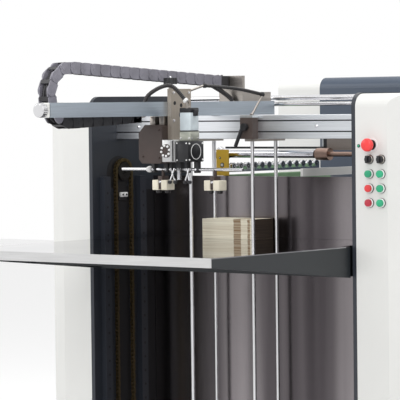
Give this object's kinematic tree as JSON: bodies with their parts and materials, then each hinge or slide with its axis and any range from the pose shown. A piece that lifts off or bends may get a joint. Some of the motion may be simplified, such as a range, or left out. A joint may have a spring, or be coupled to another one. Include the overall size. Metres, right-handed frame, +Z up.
{
  "type": "paper grooving machine",
  "caption": "Infeed end of a sheet grooving machine: lift table between two tall cabinets, overhead feeder head on a cantilever arm, and a hooded main body behind.",
  "frame": {"origin": "on the floor, midway between the two side plates, in the plane of the cabinets' fronts", "axes": "+X across the machine to the right as the operator faces it, +Y into the machine along the sheets' travel, +Z up"},
  "size_m": [1.4626, 2.7733, 1.605],
  "materials": {
    "navy": "satin navy enamel",
    "white": "satin white enamel",
    "dark": "satin near-black enamel",
    "aluminium": "satin anodised",
    "stainless": "polished sheet",
    "chrome": "hard-chromed shaft",
    "casting": "dark brown painted casting",
    "steel": "bare machined steel",
    "black": "black plastic",
    "cream": "cream plastic",
    "board": "raw grey board",
    "rubber": "black hose",
    "yellow": "ochre enamel",
    "green_belt": "woven green belt",
    "red_plastic": "red moulding",
    "green_plastic": "green moulding"
  },
  "bodies": {
    "machine": {"arm_end_cap": "white", "back_hose": "rubber", "back_wall": "stainless", "belt_strip": "green_belt", "cam_box": "black", "cantilever_arm": "aluminium", "chain_bracket": "steel", "clamp_block": "dark", "conveyor_base": "navy", "cross_beam": "aluminium", "drive_panel": "steel", "energy_chain": "black", "floor_pan": "dark", "front_hose": "rubber", "head_bracket": "steel", "head_housing": "casting", "knob_post": "steel", "left_button_1": "green_plastic", "left_button_2": "red_plastic", "left_button_3": "red_plastic", "left_cover": "white", "left_lift_chain": "steel", "left_rear_cover": "white", "left_side_guide": "steel", "left_side_plate": "navy", "left_sprocket": "steel", "left_sucker": "cream", "lower_bar": "chrome", "push_rod": "chrome", "rear_hood": "navy", "right_button_1": "green_plastic", "right_button_2": "green_plastic", "right_button_3": "green_plastic", "right_cover": "white", "right_lift_chain": "steel", "right_rear_cover": "white", "right_side_guide": "steel", "right_side_plate": "navy", "right_sprocket": "steel", "right_sucker": "cream", "roller_bracket": "steel", "roller_drive": "stainless", "servo_motor": "aluminium", "side_guard": "white", "sucker_bar": "chrome", "upper_bar": "chrome", "valve_block": "aluminium", "wheel_end_plate": "yellow", "wheel_rail": "dark"},
    "lift_table": {"table_frame": "dark", "table_sheet": "stainless", "board_pile": "board"},
    "arm_knob": {"arm_knob": "chrome"},
    "star_knob": {"star_knob": "black"},
    "clamp_lever": {"clamp_lever": "black"},
    "feed_roller": {"feed_roller": "chrome"},
    "emergency_stop": {"emergency_stop": "red_plastic"},
    "left_selector": {"left_selector": "black"},
    "right_selector": {"right_selector": "black"}
  },
  "joints": [
    {"name": "table_lift", "type": "slide", "parent": "machine", "child": "lift_table", "axis": [0, 0, 1], "range_m": [-0.75, 0.05]},
    {"name": "arm_knob_turn", "type": "hinge", "parent": "machine", "child": "arm_knob", "pos_m": [-0.105, -0.712, 1.4568], "axis": [0, 1, 0], "continuous": true},
    {"name": "star_knob_turn", "type": "hinge", "parent": "machine", "child": "star_knob", "pos_m": [-0.105, -0.1, 1.545], "axis": [0, 0, 1], "continuous": true},
    {"name": "clamp_lever_turn", "type": "hinge", "parent": "machine", "child": "clamp_lever", "pos_m": [0.045, 0.0917, 1.396], "axis": [0, 1, 0], "range_deg": [-40, 40]},
    {"name": "feed_roller_spin", "type": "hinge", "parent": "machine", "child": "feed_roller", "pos_m": [-0.065, 0.38, 1.304], "axis": [1, 0, 0], "continuous": true},
    {"name": "emergency_stop_push", "type": "slide", "parent": "machine", "child": "emergency_stop", "axis": [0, 1, 0], "range_m": [0, 0.006]},
    {"name": "left_selector_turn", "type": "hinge", "parent": "machine", "child": "left_selector", "pos_m": [0.592, 0, 1.297], "axis": [0, 1, 0], "range_deg": [0, 90]},
    {"name": "right_selector_turn", "type": "hinge", "parent": "machine", "child": "right_selector", "pos_m": [0.635, 0, 1.297], "axis": [0, 1, 0], "range_deg": [-90, 0]}
  ]
}
